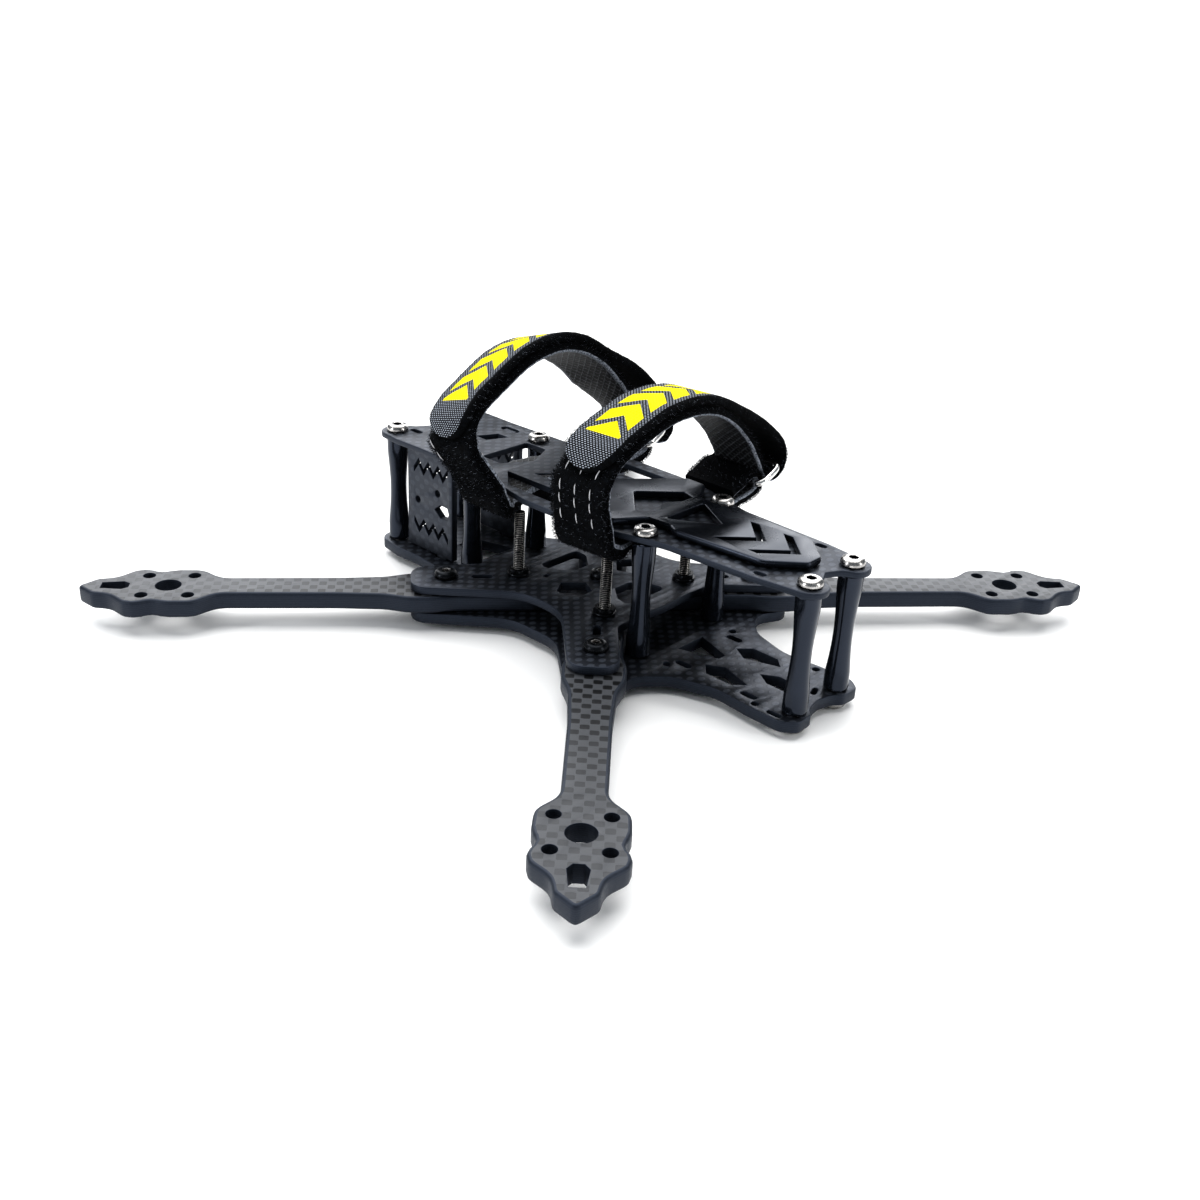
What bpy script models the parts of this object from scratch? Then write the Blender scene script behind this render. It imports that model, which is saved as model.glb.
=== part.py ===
"""Racing quadcopter frame kit, 220 mm wheelbase, as an assembly of separate parts.

Axes: +X starboard, +Y nose, +Z up.  The origin is on the ground under the middle of the
frame.  Lengths below are in millimetres and become metres when a mesh is made.
"""
from math import acos, atan2, cos, hypot, pi, radians, sin, tan

import bmesh
import bpy
from mathutils import Matrix, Vector

MM = 0.001
GAP = 0.3                      # clearance kept between parts that touch
ARC_TOLERANCE = 0.08           # how far a chord may leave its arc

# Heights of the stack, from the ground up
HEAD_HEIGHT = 1.65             # button heads, which the frame stands on
BOTTOM_Z = HEAD_HEIGHT + GAP
BOTTOM_THICK = 2.85
ARM_Z = BOTTOM_Z + BOTTOM_THICK + GAP
ARM_THICK = 4.55
MID_Z = ARM_Z + ARM_THICK + GAP
MID_THICK = 2.15
STANDOFF_Z = ARM_Z
STANDOFF_LENGTH = 29.8
TOP_Z = STANDOFF_Z + STANDOFF_LENGTH + GAP
TOP_THICK = 1.6
PAD_THICK = 1.7

# Arms and motor mounts
WHEELBASE = 220.0              # motor shaft to motor shaft, across the middle
ARM_ANGLE = 41.1               # from the X axis
MOTOR_R = WHEELBASE / 2
MOTOR_CIRCLE = 16.0            # bolt circle of the motor screws
MOTOR_HOLE = 3.1
SHAFT_HOLE = 6.4

# Lobes of the centre plates over the arm roots, and lugs round the end standoffs
LOBE_R = 49.3                  # distance of a lobe's end from the middle
LOBE_HALF = 6.15               # half its width
LOBE_FILLET = 4.6
LUG_R = 4.4

# Fasteners
SCREW_D = 2.9                  # M3 shank
CLEAR_D = 3.7                  # clearance hole for it
HEAD_D = 5.9
STACK_PITCH = 30.5             # flight controller hole pattern
STACK_BOLT_LENGTH = 28.0
ARM_BOLT_R = 40.3              # distance of the arm bolts from the middle
NUT_FLATS = 4.9
NUT_HEIGHT = 1.65              # as high as the heads under the frame
FLANGE_D = 5.9
FLANGE_HEIGHT = 0.6
SCREW_INTO_STANDOFF = 7.0

STANDOFF_END_D = 6.0
STANDOFF_WAIST_D = 4.7
STANDOFFS = {                  # name: (x, y) of the starboard one of each pair
    "nose": (12.3, 67.2),
    "front": (12.2, 36.6),
    "rear": (14.5, -26.0),
    "tail": (8.3, -68.7),
}

# Camera side plates
CAMERA_PLATE_X = 12.2
CAMERA_PLATE_THICK = 2.0
CAMERA_PLATE_Y = (43.6, 62.1)
TAB_Y = (46.0, 50.0)

# Battery straps
STRAP_WIDTH = 16.0
STRAP_THICK = 2.4
LAYER_STEP = STRAP_THICK + GAP
DOUBLED = 1.6                  # extra thickness where the strap is sewn double
WIRE_D = 2.0                   # metal ring
SEWN_BAR = (32.5, 27.0 + ARM_Z + ARM_THICK)
FREE_BAR = (40.6, 30.3 + ARM_Z + ARM_THICK)
REAR_STRAP_Y = -14.6
REAR_STRAP_LEAN = 0.04         # forward shift for each millimetre of height
REAR_STRAP_TUCK = 1.4          # how far in its rear edge lies beside the plate
FRONT_STRAP_Y = 23.4
FRONT_STRAP_LEAN = 0.3
FRONT_STRAP_SWEEP = 3.5        # how far towards the tail it passes the plate's port edge
TILT_FROM = 8.6                # height over the plate where a strap starts to tilt
TILT_OVER = 12.0
TAPER = 0.0125                 # narrowing of the loop for each millimetre its edge dips

SIDES = (("left", -1), ("right", 1))


# ---------------------------------------------------------------- scene and materials

def clear_scene():
    """Remove every object, so that the script can be run again."""
    for obj in list(bpy.data.objects):
        bpy.data.objects.remove(obj, do_unlink=True)


def new_collection(name):
    """Return a collection linked to the scene."""
    collection = bpy.data.collections.new(name)
    bpy.context.scene.collection.children.link(collection)
    return collection


def new_material(name, colour, roughness, metallic):
    """Return a Principled BSDF material."""
    material = bpy.data.materials.new(name)
    material.use_nodes = True
    shader = material.node_tree.nodes["Principled BSDF"]
    shader.inputs["Base Color"].default_value = (*colour, 1.0)
    shader.inputs["Roughness"].default_value = roughness
    shader.inputs["Metallic"].default_value = metallic
    return material


clear_scene()
FRAME = new_collection("quadcopter_frame")
CARBON = new_material("carbon_plate", (0.035, 0.038, 0.045), 0.45, 0.0)
ANODISED = new_material("black_anodised", (0.02, 0.022, 0.03), 0.3, 0.9)
STEEL = new_material("bright_steel", (0.62, 0.6, 0.57), 0.22, 1.0)
BLACK_STEEL = new_material("black_steel", (0.03, 0.03, 0.035), 0.35, 1.0)
RUBBER = new_material("rubber_pad", (0.02, 0.022, 0.025), 0.35, 0.0)
WEBBING = new_material("strap_webbing", (0.015, 0.016, 0.02), 0.9, 0.0)
RING_STEEL = new_material("ring_steel", (0.7, 0.68, 0.66), 0.18, 1.0)


# ---------------------------------------------------------------- outlines

def arc_step(radius):
    """Angle of one chord that stays within the arc tolerance."""
    return min(radians(26), 2 * acos(1 - ARC_TOLERANCE / max(radius, 1)))


def arc(centre, radius, start, end, steps):
    """Points on an arc, angles in degrees."""
    angles = [radians(start + (end - start) * i / steps) for i in range(steps + 1)]
    return [(centre[0] + radius * cos(a), centre[1] + radius * sin(a)) for a in angles]


def circle(centre, diameter, sides=12):
    """Points round a circle."""
    return arc(centre, diameter / 2, 0, 360 - 360 / sides, sides - 1)


def rounded(corners, closed=True):
    """Outline through corners (x, y, fillet radius), each fillet an arc.

    A fillet takes at most half of its shorter side.  Without closed, the first and the
    last corner stay sharp ends.
    """
    points = []
    count = len(corners)
    for i, (x, y, radius) in enumerate(corners):
        at_end = not closed and i in (0, count - 1)
        if radius == 0 or at_end:
            points.append((x, y))
            continue
        here = Vector((x, y))
        to_last = Vector(corners[i - 1][:2]) - here
        to_next = Vector(corners[(i + 1) % count][:2]) - here
        longest = 0.49 * min(to_last.length, to_next.length)
        to_last.normalize()
        to_next.normalize()
        half = to_last.angle(to_next) / 2
        reach = min(radius / tan(half), longest)
        centre = here + (to_last + to_next).normalized() * (reach / cos(half))
        first = here + to_last * reach - centre
        turn = pi - 2 * half
        if to_last.cross(to_next) > 0:
            turn = -turn
        steps = max(1, round(abs(turn) / arc_step(first.length)))
        start = atan2(first.y, first.x)
        for k in range(steps + 1):
            a = start + turn * k / steps
            points.append((centre.x + first.length * cos(a), centre.y + first.length * sin(a)))
    return points


def mirrored(half):
    """Close a half outline on the +X side with its mirror image.

    A point on the mirror line is used once.
    """
    other = [(-x, y) for x, y in reversed(half) if abs(x) > 1e-6]
    return half + other


def both_sides(shape):
    """A hole and its mirror image."""
    return [shape, [(-x, y) for x, y in shape]]


def slot(centre, length, width, angle=90.0):
    """A round-ended slot, its length along the angle in degrees."""
    reach = (length - width) / 2
    ends = arc((reach, 0), width / 2, -90, 90, 4) + arc((-reach, 0), width / 2, 90, 270, 4)
    turn = radians(angle)
    return [(centre[0] + x * cos(turn) - y * sin(turn),
             centre[1] + x * sin(turn) + y * cos(turn)) for x, y in ends]


def along_arm(r, across, side_x, side_y):
    """Plan position at a distance along one arm and across it."""
    turn = radians(ARM_ANGLE)
    dx, dy = side_x * cos(turn), side_y * sin(turn)
    return (r * dx - across * dy, r * dy + across * dx)


# ---------------------------------------------------------------- solids

def add_object(name, data, material, location=(0, 0, 0), rotation=(0, 0, 0)):
    """Link an object into the frame's collection; location in millimetres."""
    data.materials.append(material)
    obj = bpy.data.objects.new(name, data)
    obj.location = [value * MM for value in location]
    obj.rotation_euler = [radians(value) for value in rotation]
    FRAME.objects.link(obj)
    return obj


def flat_curve(name, outlines, thickness):
    """A filled 2D curve: the first outline is the edge, the rest are holes."""
    curve = bpy.data.curves.new(name, "CURVE")
    curve.dimensions = "2D"
    curve.fill_mode = "BOTH"
    curve.extrude = thickness / 2 * MM
    for outline in outlines:
        spline = curve.splines.new("POLY")
        spline.points.add(len(outline) - 1)
        for point, (x, y) in zip(spline.points, outline):
            point.co = (x * MM, y * MM, 0, 1)
        spline.use_cyclic_u = True
    return curve


def plate(name, outlines, z, thickness, material):
    """A flat plate cut from sheet, its underside at height z."""
    curve = flat_curve(name, outlines, thickness)
    return add_object(name, curve, material, (0, 0, z + thickness / 2))


def turned(name, profile, sides, material, location):
    """A part turned about Z from a profile of (radius, z), down its outer side."""
    mesh = bpy.data.meshes.new(name)
    points = [(r * MM, 0, z * MM) for r, z in profile]
    edges = [(i, i + 1) for i in range(len(points) - 1)]
    if profile[0][0] > 0:
        edges.append((len(points) - 1, 0))
    mesh.from_pydata(points, edges, [])
    obj = add_object(name, mesh, material, location)
    screw = obj.modifiers.new("turn", "SCREW")
    screw.steps = sides
    screw.render_steps = sides
    screw.use_merge_vertices = True
    screw.merge_threshold = 0.00001
    return obj


def lofted_ring(name, rings, material, location):
    """A ring-shaped solid through closed sections of equal point count."""
    mesh = bpy.data.meshes.new(name)
    work = bmesh.new()
    loops = [[work.verts.new([value * MM for value in point]) for point in ring]
             for ring in rings]
    count = len(rings[0])
    for low, high in zip(loops, loops[1:] + loops[:1]):
        for i in range(count):
            j = (i + 1) % count
            work.faces.new((low[i], low[j], high[j], high[i]))
    bmesh.ops.recalc_face_normals(work, faces=work.faces)
    work.to_mesh(mesh)
    work.free()
    return add_object(name, mesh, material, location)


# ---------------------------------------------------------------- plates and arms

def bolt_positions():
    """Plan positions of the stack bolts and the arm bolts, keyed by corner."""
    stack = {}
    arms = {}
    half = STACK_PITCH / 2
    for end, side_y in (("front", 1), ("rear", -1)):
        for side, side_x in SIDES:
            stack[f"{end}_{side}"] = (side_x * half, side_y * half)
            arms[f"{end}_{side}"] = along_arm(ARM_BOLT_R, 0, side_x, side_y)
    return stack, arms


def standoff_positions():
    """Plan positions of the eight standoffs, keyed by name."""
    return {f"{pair}_{side}": (sign * x, y)
            for pair, (x, y) in STANDOFFS.items() for side, sign in SIDES}


def fastener_holes(*groups):
    """Clearance holes for groups of plan positions."""
    return [circle(centre, CLEAR_D) for group in groups for centre in group]


def arm_lobe(side_y):
    """Corners of the starboard lobe of a centre plate, over the root of an arm."""
    corners = [along_arm(LOBE_R, across, 1, side_y) for across in (-LOBE_HALF, LOBE_HALF)]
    return [(x, y, LOBE_FILLET) for x, y in corners]


def make_bottom_plate():
    """The lowest plate, from tail to nose, with a lobe under each arm."""
    nose = arc(STANDOFFS["nose"], LUG_R, -5, 120, 6)
    rear_lobe = arm_lobe(-1)
    front_lobe = arm_lobe(1)
    middle = rounded([
        (0.0, -69.6, 0), (4.6, -70.4, 3), (6.6, -72.4, 2.5), (11.8, -72.6, 2.5),
        (14.6, -69.2, 4), (14.4, -60.0, 6), (13.4, -50.0, 14), (17.0, -39.0, 8), (25.0, -32.0, 8),
        *rear_lobe, (24.5, -8.0, 12), (24.5, 8.0, 12), *front_lobe,
        (25.0, 32.0, 8), (18.4, 40.0, 10), (17.0, 54.0, 20), (17.6, 62.0, 6)], closed=False)
    half = middle + nose + [(6.0, 68.1), (0.0, 65.5)]
    stack, arm_bolts = bolt_positions()
    holes = fastener_holes(standoff_positions().values(), stack.values(),
                           arm_bolts.values(), [(0, 0)])
    for hole in (circle((12.9, -34.2), 1.9, 10), circle((12.2, -60.4), 1.9, 10),
                 slot((10.0, -37.0), 4.6, 1.8), slot((10.2, -57.0), 4.6, 1.8),
                 slot((3.0, -66.4), 3.6, 1.4, 20), slot((12.7, -66.2), 4.0, 1.5),
                 [(6.2, -40.8), (3.6, -45.0), (5.2, -49.5), (6.6, -53.8), (9.3, -51.0),
                  (9.3, -43.6)],
                 slot((CAMERA_PLATE_X, 48.0), 6.4, 2.7)):
        holes += both_sides(hole)
    holes.append([(0, -52.8), (2.4, -56.5), (2.4, -61.5), (-2.4, -61.5), (-2.4, -56.5)])
    holes.append([(-4.6, -31.0), (-1.2, -41.0), (1.2, -41.0), (4.6, -31.0)])
    holes.append([(-6.5, 40.0), (-3.0, 52.0), (3.0, 52.0), (6.5, 40.0)])
    plate("bottom_plate", [mirrored(half)] + holes, BOTTOM_Z, BOTTOM_THICK, CARBON)


def make_mid_plate():
    """The X-shaped clamp plate over the roots of the arms."""
    rear_lobe = arm_lobe(-1)
    front_lobe = arm_lobe(1)
    half = rounded([
        (0, -22.4, 0), (9.0, -21.7, 20), (18.0, -22.3, 3), *rear_lobe,
        (22.0, -7.0, 14), (22.0, 7.0, 14), *front_lobe,
        (21.5, 29.0, 10), (8.0, 20.6, 16), (0, 20.4, 0)], closed=False)
    stack, arm_bolts = bolt_positions()
    holes = fastener_holes(stack.values(), arm_bolts.values(), [(0, 0)])
    hexagon = [(6.0, 0.0), (8.0, -4.3), (12.6, -4.6), (14.9, -1.6), (14.9, 1.6), (10.6, 4.4)]
    holes += both_sides(hexagon)
    holes += both_sides(slot((10.4, 9.8), 1.9, 1.2, 0))
    for end in (1, -1):
        window = rounded([(7.3, 15.8, 1.6), (6.4, 11.6, 1), (2.6, 7.2, 1), (-2.6, 7.2, 1),
                          (-6.4, 11.6, 1), (-7.3, 15.8, 1.6)])
        holes.append([(x, end * y) for x, y in window])
        for side_x in (1, -1):
            centre = along_arm(31.0, 0, side_x, end)
            holes.append(slot(centre, 5.6, 1.9, side_x * end * ARM_ANGLE))
    plate("mid_plate", [mirrored(half)] + holes, MID_Z, MID_THICK, CARBON)


def make_top_plate():
    """The battery plate on the standoffs, pierced by slanted windows."""
    tail = arc(STANDOFFS["tail"], LUG_R, 228, 352, 6)
    nose = arc(STANDOFFS["nose"], LUG_R, -5, 125, 6)
    middle = rounded([
        (14.2, -58.0, 20), (15.4, -33.0, 10), (20.6, -14.0, 8), (21.2, -6.0, 6),
        (21.2, 8.0, 8), (17.5, 26.0, 12), (16.9, 52.0, 20), (17.2, 62.0, 6)], closed=False)
    half = [(0.0, -67.0), (3.8, -69.0)] + tail + middle + nose + [(6.0, 66.8), (0.0, 63.5)]
    holes = fastener_holes(standoff_positions().values())
    for hole in (slot((CAMERA_PLATE_X, 48.0), 6.4, 2.7), slot((8.8, 63.4), 4.4, 1.8),
                 slot((11.8, -57.6), 3.2, 1.7),
                 [(1.4, 50.2), (7.2, 47.6), (7.4, 43.6), (1.4, 46.0)],
                 [(10.7, 24.8), (10.7, -1.0), (17.2, -8.6), (17.2, 17.6)],
                 [(2.6, 15.6), (6.6, 19.0), (6.6, 9.0)],
                 [(4.2, -4.6), (1.6, -2.2), (1.6, 2.6), (7.2, 6.4), (7.2, 0.6)],
                 [(1.6, -9.0), (13.6, -20.0), (13.0, -16.6), (1.6, -5.6)],
                 slot((4.6, -34.5), 9.0, 2.0, 35.0), slot((4.6, -47.0), 9.0, 2.0, 35.0)):
        holes += both_sides(hole)
    shield = rounded([(8.3, 37.2, 1), (8.3, 30.0, 1), (0, 25.9, 1.5), (-8.3, 30.0, 1),
                      (-8.3, 37.2, 1)])
    holes.append(shield)
    plate("top_plate", [mirrored(half)] + holes, TOP_Z, TOP_THICK, CARBON)


def chevron(y, reach, rise, width):
    """A V-shaped slot about the Y axis, its point at y."""
    upper = [(reach, y + rise + width), (0, y + width), (-reach, y + rise + width)]
    return upper + [(-reach, y + rise), (0, y), (reach, y + rise)]


def make_battery_pad():
    """The rubber pad on the top plate, an arrow cut round the screw heads."""
    half = rounded([
        (0, 2.0, 0), (17.6, -12.0, 2), (17.6, -18.0, 2), (10.0, -22.8, 2), (9.6, -29.4, 2),
        (11.2, -31.5, 4), (9.4, -56.4, 4), (2.4, -64.1, 2), (0, -64.1, 0)], closed=False)
    arrow = rounded([(0, -9.2, 1), (9.2, -18.0, 0.6), (8.2, -21.4, 0.6), (4.2, -21.4, 1),
                     (0, -18.8, 1), (-4.2, -21.4, 1), (-8.2, -21.4, 0.6), (-9.2, -18.0, 0.6)])
    triangle = rounded([(-7.2, -25.8, 0.6), (0, -37.5, 0.6), (7.2, -25.8, 0.6)])
    outlines = [mirrored(half), arrow, triangle,
                chevron(-50.0, 6.9, 7.0, 2.6), chevron(-59.8, 6.9, 7.0, 2.6)]
    plate("battery_pad", outlines, TOP_Z + TOP_THICK + GAP, PAD_THICK, RUBBER)


def arm_outline():
    """Outline of an arm along +X, from its root to its tip."""
    half = rounded([
        (12.0, 0.0, 0), (14.0, 5.4, 2), (18.0, 6.6, 3), (38.0, 6.6, 10), (44.0, 7.7, 8),
        (50.0, 7.5, 8), (56.0, 5.6, 10), (68.0, 4.95, 40), (97.4, 4.8, 6), (102.6, 9.6, 5),
        (109.8, 9.7, 5), (112.9, 8.1, 3), (116.0, 9.9, 3), (119.4, 9.7, 4.5),
        (123.6, 5.1, 6), (128.0, 4.3, 2), (131.5, 0.8, 1.2), (131.8, 0.0, 0)], closed=False)
    return half + [(x, -y) for x, y in reversed(half[1:-1])]


def make_arm(name, side_x, side_y):
    """One arm, with its motor mount at the outer end."""
    stack_r, stack_across = STACK_PITCH / 2, STACK_PITCH / 2
    turn = radians(ARM_ANGLE)
    stack = (stack_r * cos(turn) + stack_across * sin(turn),
             side_x * side_y * (stack_across * cos(turn) - stack_r * sin(turn)))
    reach = MOTOR_CIRCLE / 2 * cos(radians(45))
    outlines = [arm_outline(), circle((MOTOR_R, 0), SHAFT_HOLE, 24),
                circle((ARM_BOLT_R, 0), CLEAR_D), circle(stack, CLEAR_D)]
    for along in (-reach, reach):
        for across in (-reach, reach):
            outlines.append(circle((MOTOR_R + along, across), MOTOR_HOLE, 14))
    outlines.append([(119.6, 1.1), (121.1, 2.2), (126.4, 1.6), (126.4, -1.6),
                     (121.1, -2.2), (119.6, -1.1)])
    arm = plate(name, outlines, ARM_Z, ARM_THICK, CARBON)
    direction = atan2(side_y * sin(turn), side_x * cos(turn))
    arm.rotation_euler = (0, 0, direction)


def zigzag(start, pitch, heights, stroke):
    """A zigzag vent slot of constant stroke height, along local X."""
    ridge = [(start + i * pitch, height) for i, height in enumerate(heights)]
    return [(x, y + stroke) for x, y in ridge] + [(x, y) for x, y in reversed(ridge)]


def make_camera_plate(name, side):
    """An upright side plate of the camera bay, with a tab into each frame plate."""
    y0, y1 = CAMERA_PLATE_Y
    low, high = STANDOFF_Z, TOP_Z - GAP
    tab0, tab1 = TAB_Y
    tab = 1.5
    outline = [(y0, low), (tab0, low), (tab0, low - tab), (tab1, low - tab), (tab1, low),
               (y1, low), (y1, high), (tab1, high), (tab1, high + tab),
               (tab0, high + tab), (tab0, high), (y0, high)]
    arm_top = ARM_Z + ARM_THICK
    vent_y, vent_pitch, vent_height, stroke = 45.4, 2.0, 2.8, 1.6
    screw_slots = [circle((y, arm_top + z), 2.0, 10) for y, z in ((49.6, 13.8), (57.8, 9.8))]
    lower = [arm_top + vent_height * (i % 2) for i in range(8)]
    upper = [arm_top + 17.5 + vent_height * ((i + 1) % 2) for i in range(8)]
    drop = [(50.8, 8.9), (48.4, 10.8), (45.6, 10.6), (45.0, 8.9), (45.6, 7.2), (48.4, 7.0)]
    outlines = [outline, zigzag(vent_y, vent_pitch, lower, stroke),
                zigzag(vent_y, vent_pitch, upper, stroke),
                *screw_slots, [(y, arm_top + z) for y, z in drop]]
    curve = flat_curve(name, outlines, CAMERA_PLATE_THICK)
    add_object(name, curve, CARBON, (side * CAMERA_PLATE_X, 0, 0), (90, 0, 90))


# ---------------------------------------------------------------- standoffs and fasteners

def make_standoff(name, centre):
    """An hour-glass standoff, bored for the screws at both ends."""
    end, waist = STANDOFF_END_D / 2, STANDOFF_WAIST_D / 2
    bore = CLEAR_D / 2
    top = STANDOFF_LENGTH
    heights = (1.0, 0.9, 0.65, 0.35, 0.1, 0.0)
    swell = (1.0, 1.0, 0.1, 0.1, 1.0, 1.0)
    outer = [(waist + (end - waist) * s, top * h) for h, s in zip(heights, swell)]
    profile = outer + [(bore, 0), (bore, top)]
    turned(name, profile, 14, ANODISED, (*centre, STANDOFF_Z))


def make_screw(name, centre, head_z, direction, length, material):
    """A button-head screw; direction is -1 where the shank points down."""
    head, shank = HEAD_D / 2, SCREW_D / 2
    profile = [(0, HEAD_HEIGHT), (1.7, HEAD_HEIGHT), (2.6, 1.2), (head, 0.3), (head, 0),
               (shank, 0), (shank, -length), (0, -length)]
    screw = turned(name, profile, 12, material, (*centre, head_z))
    if direction > 0:
        screw.rotation_euler = (pi, 0, 0)


def make_flange_nut(name, centre, z):
    """A hexagon nut with a round flange, the flange down at height z."""
    sides = 12
    corner = NUT_FLATS / 2 / cos(radians(30))

    def ring(radius, height):
        return [(x, y, height) for x, y in circle((0, 0), 2 * radius, sides)]

    def hexagon(height):
        middle = NUT_FLATS / 2
        points = [(corner if i % 2 == 0 else middle) for i in range(sides)]
        return [(r * cos(2 * pi * i / sides), r * sin(2 * pi * i / sides), height)
                for i, r in enumerate(points)]

    bore, flange = CLEAR_D / 2, FLANGE_D / 2
    rings = [ring(bore, 0), ring(flange, 0), ring(flange, FLANGE_HEIGHT),
             hexagon(FLANGE_HEIGHT), hexagon(NUT_HEIGHT), ring(bore, NUT_HEIGHT)]
    return lofted_ring(name, rings, BLACK_STEEL, (*centre, z))


def make_arm_bolt(place, centre):
    """A black button-head bolt down through the arm and both plates, its nut below them."""
    head_z = MID_Z + MID_THICK + GAP
    name = f"arm_bolt_{place}" if place else "centre_bolt"
    make_screw(name, centre, head_z, -1, head_z - GAP, BLACK_STEEL)
    nut = make_flange_nut(name.replace("bolt", "nut"), centre, HEAD_HEIGHT)
    nut.rotation_euler = (pi, 0, 0)


def make_fasteners():
    """Every screw, bolt and nut, and the standoffs they hold."""
    for name, centre in standoff_positions().items():
        make_standoff(f"standoff_{name}", centre)
        make_screw(f"top_screw_{name}", centre, TOP_Z + TOP_THICK + GAP, -1,
                   SCREW_INTO_STANDOFF, STEEL)
        make_screw(f"bottom_screw_{name}", centre, HEAD_HEIGHT, 1, SCREW_INTO_STANDOFF, STEEL)
    stack, arm_bolts = bolt_positions()
    for corner, centre in stack.items():
        make_screw(f"stack_bolt_{corner}", centre, HEAD_HEIGHT, 1, STACK_BOLT_LENGTH,
                   BLACK_STEEL)
        make_flange_nut(f"stack_nut_{corner}", centre, MID_Z + MID_THICK + GAP)
    for corner, centre in arm_bolts.items():
        make_arm_bolt(corner, centre)
    make_arm_bolt("", (0, 0))


# ---------------------------------------------------------------- battery straps

def smooth_path(points, per_span):
    """Points along a Catmull-Rom curve through the given points."""
    knots = [Vector(p) for p in points]
    knots = [2 * knots[0] - knots[1]] + knots + [2 * knots[-1] - knots[-2]]
    path = []
    for a, b, c, d in zip(knots, knots[1:], knots[2:], knots[3:]):
        for step in range(per_span):
            t = step / per_span
            path.append(0.5 * (2 * b + (c - a) * t + (2 * a - 5 * b + 4 * c - d) * t * t
                               + (3 * b - a - 3 * c + d) * t ** 3))
    return path + [knots[-2]]


def normals(path):
    """Unit normals to the left of a path."""
    result = []
    for i in range(len(path)):
        ahead = path[min(i + 1, len(path) - 1)] - path[max(i - 1, 0)]
        result.append(Vector((-ahead.y, ahead.x)) / hypot(*ahead))
    return result


def ribbon(path, extra):
    """Closed outline of a strap along a path, with extra thickness on its left side."""
    sides = list(zip(path, normals(path), extra))
    left = [tuple(p + n * (STRAP_THICK / 2 + more)) for p, n, more in sides]
    right = [tuple(p - n * STRAP_THICK / 2) for p, n, more in sides]
    return left + right[::-1]


SEWN_END = [(23.6, 26.2), (28.2, 27.9), (31.4, 29.3), (34.3, 28.6), (34.7, 26.0), (32.6, 24.3)]
UNDER_PLATE = [(28.0, 23.4), (22.0, 22.7), (14.0, 22.6), (2.0, 23.0), (-12.0, 22.9)]
FOLD = [(36.4, 30.0), (38.2, 27.4), (41.6, 26.6), (44.6, 28.2), (45.6, 31.6)]
REAR_LOOP = [(-19.3, 22.9), (-22.7, 24.4), (-23.2, 28.0), (-23.5, 32.6), (-23.6, 36.9),
             (-22.4, 41.0), (-19.6, 44.0), (-15.3, 46.3), (-9.0, 48.6), (-3.0, 50.4),
             (3.3, 51.1), (9.8, 50.8), (16.8, 49.1), (23.6, 45.3), (29.2, 40.4), (33.4, 35.0)]
REAR_RETURN = [(43.4, 36.0), (37.4, 40.9), (31.0, 45.0)]
FRONT_LOOP = [(-19.0, 23.0), (-22.4, 24.4), (-22.9, 28.0), (-24.2, 32.0), (-25.8, 36.0),
              (-26.6, 40.3), (-25.2, 44.0), (-21.0, 47.4), (-15.2, 50.1), (-9.4, 52.7),
              (-3.6, 54.9), (2.0, 56.1), (7.4, 56.5), (12.4, 55.9), (17.6, 54.2),
              (22.9, 50.9), (27.2, 46.4), (31.2, 40.6), (34.2, 34.8)]
FRONT_RETURN = [(44.2, 36.6), (39.6, 42.6), (34.4, 47.4)]
TIP_KNOT = 5                   # where the tail ends on a loop
PER_KNOT = 2                   # stations from one knot of a strap to the next


def strap_outline(loop, back):
    """Side view of a strap: sewn end, under the plate, round the loop, back as the tail.

    Knots give plan X and height above the arms.  From TIP_KNOT down to the plate the
    strap is sewn double.  The tail lies on the loop, one layer further out.
    """
    before = SEWN_END + UNDER_PLATE
    knots = [Vector(p) for p in before + loop]
    outward = normals(knots)
    tip = len(before) + TIP_KNOT
    on_loop = range(len(knots) - 4, tip - 1, -1)
    tail = [knots[i] + outward[i] * LAYER_STEP for i in on_loop]
    path = smooth_path(knots + [Vector(p) for p in FOLD + back] + tail, PER_KNOT)
    doubled = range(PER_KNOT * len(before), PER_KNOT * tip)
    extra = [DOUBLED if i in doubled else 0 for i in range(len(path))]
    drop = Vector((0, TOP_Z - ARM_Z - ARM_THICK))
    return ribbon([p - drop for p in path], extra)


def leaned(point, lean):
    """Lean a point of a strap forward, its front edge dipping as the loop tips over."""
    tilt = lean * min(1, max(0, (point.z - TILT_FROM) / TILT_OVER))
    dip = tilt * (point.y + STRAP_WIDTH / 2)
    return Vector((point.x * (1 - TAPER * dip), point.y + lean * point.z, point.z - dip))


def tucked(point, tuck):
    """Move the rear edge of a strap inward beside the plate, whose edge slants there."""
    share = (STRAP_WIDTH / 2 - point.y) / STRAP_WIDTH
    beside = min(1, max(0, (-14 - point.x) / 6)) * min(1, max(0, (TILT_FROM - point.z) / 7))
    return point + Vector((tuck * share * beside, 0, 0))


def swept(point, sweep):
    """Carry a strap towards the tail where it passes the plate's port edge."""
    low = min(1, max(0, (10 - point.z) / 9))
    outside = min(1, max(0, (-18 - point.x) / 3.5))
    return point - Vector((0, sweep * low * outside, 0))


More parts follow.
